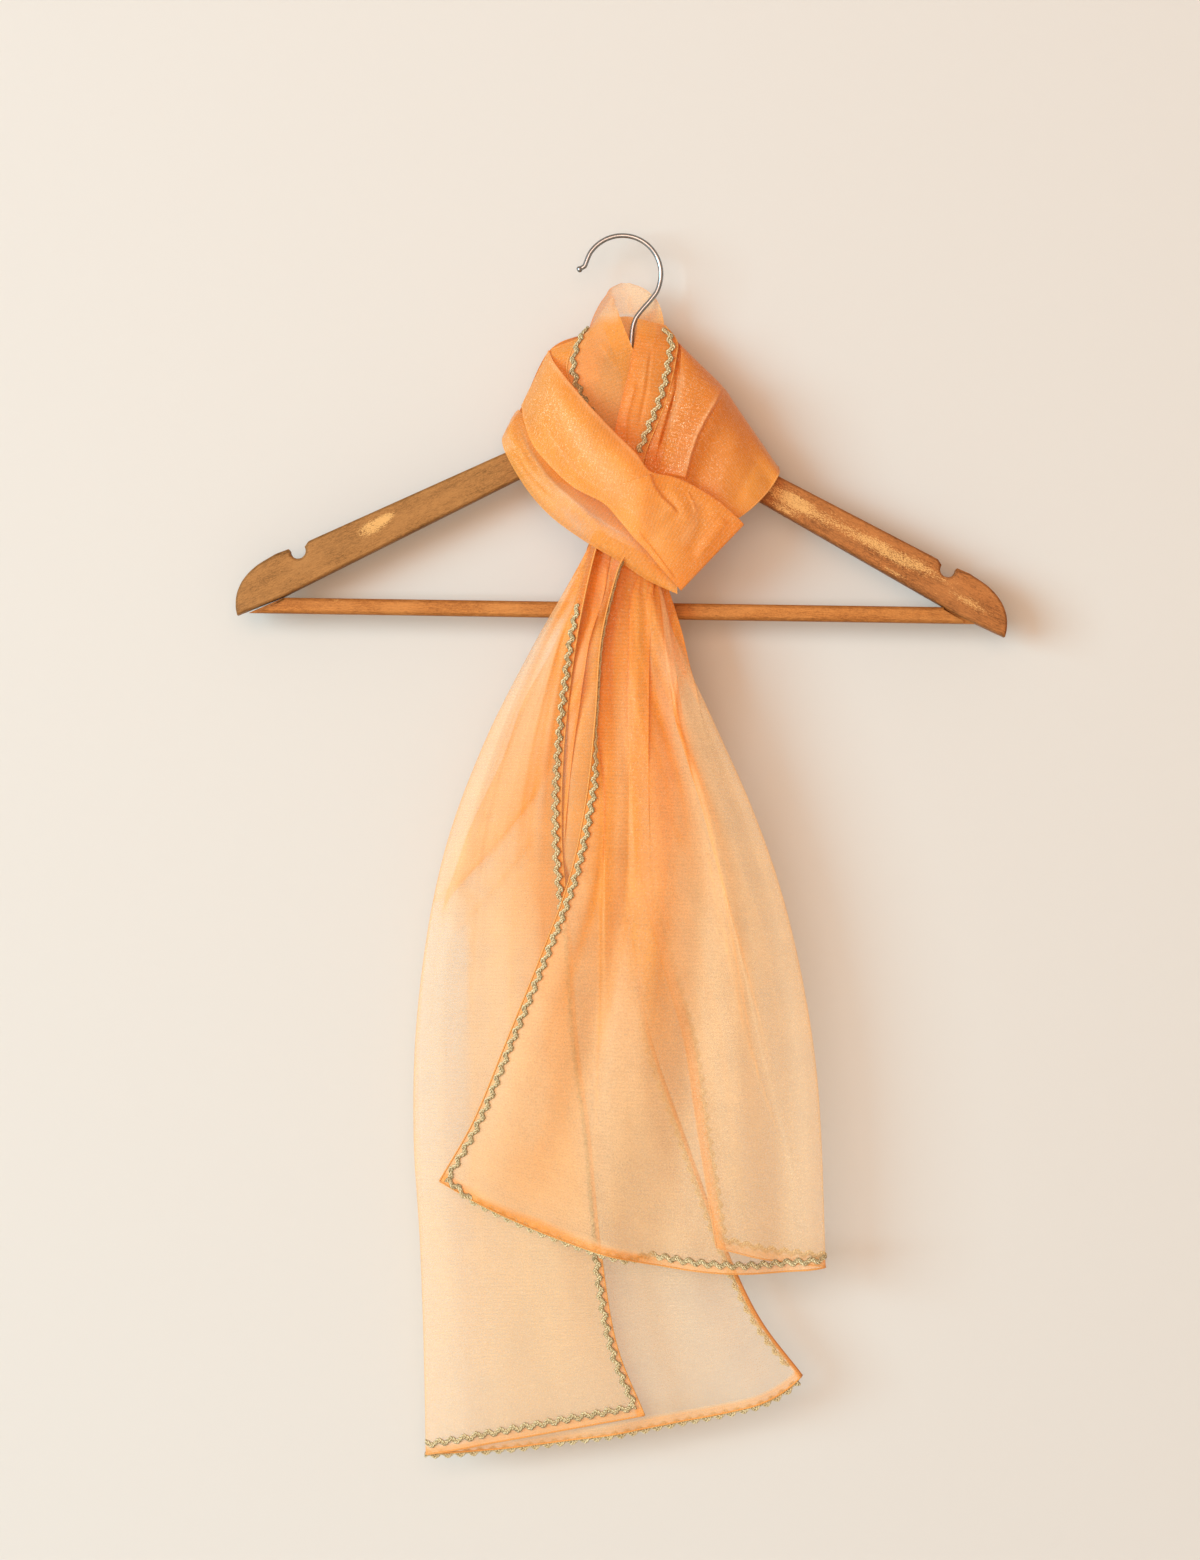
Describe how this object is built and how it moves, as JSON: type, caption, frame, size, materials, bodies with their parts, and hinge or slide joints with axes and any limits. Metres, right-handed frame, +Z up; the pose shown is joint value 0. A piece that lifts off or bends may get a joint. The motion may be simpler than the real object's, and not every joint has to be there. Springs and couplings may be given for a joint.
{
  "type": "dupatta stole on a coat hanger",
  "caption": "Sheer net stole with braided edges, wound and knotted on a notched wooden coat hanger so that both tails hang in front.",
  "frame": {"origin": "where the underside of the hanger's hook rests on what holds it", "axes": "+Z up, +X to the viewer's right when seen from the front, +Y away from the front, through the hanger's thickness"},
  "size_m": [0.445, 0.0684, 0.7038],
  "materials": {
    "net": "sheer peach-orange glitter net, see-through in one layer and dense where it is folded",
    "braid": "antique gold ric-rac braid with metallic thread",
    "wood_arms": "worn satin varnish with pale gold patches",
    "wood_bar": "worn satin varnish, redder",
    "wire": "plain bright wire"
  },
  "bodies": {
    "root": {"stole_collar_back": "net", "stole_lapel_left": "net", "stole_lapel_right": "net", "stole_shoulder_left": "net", "stole_shoulder_right": "net", "stole_back_wrap": "net", "stole_front_band": "net", "stole_knot_fold": "net", "stole_band_roll": "net", "stole_tail_rear": "net", "stole_tail_front": "net", "braid_lapel_left": "braid", "braid_lapel_right": "braid", "braid_rear_side": "braid", "braid_rear_hem": "braid", "braid_rear_back_side": "braid", "braid_rear_back_hem": "braid", "braid_front_side": "braid", "braid_front_hem": "braid", "braid_front_back_side": "braid", "braid_front_back_hem": "braid", "hanger_arm_left": "wood_arms", "hanger_arm_right": "wood_arms", "hanger_bar": "wood_bar", "hanger_hook": "wire"}
  },
  "joints": []
}
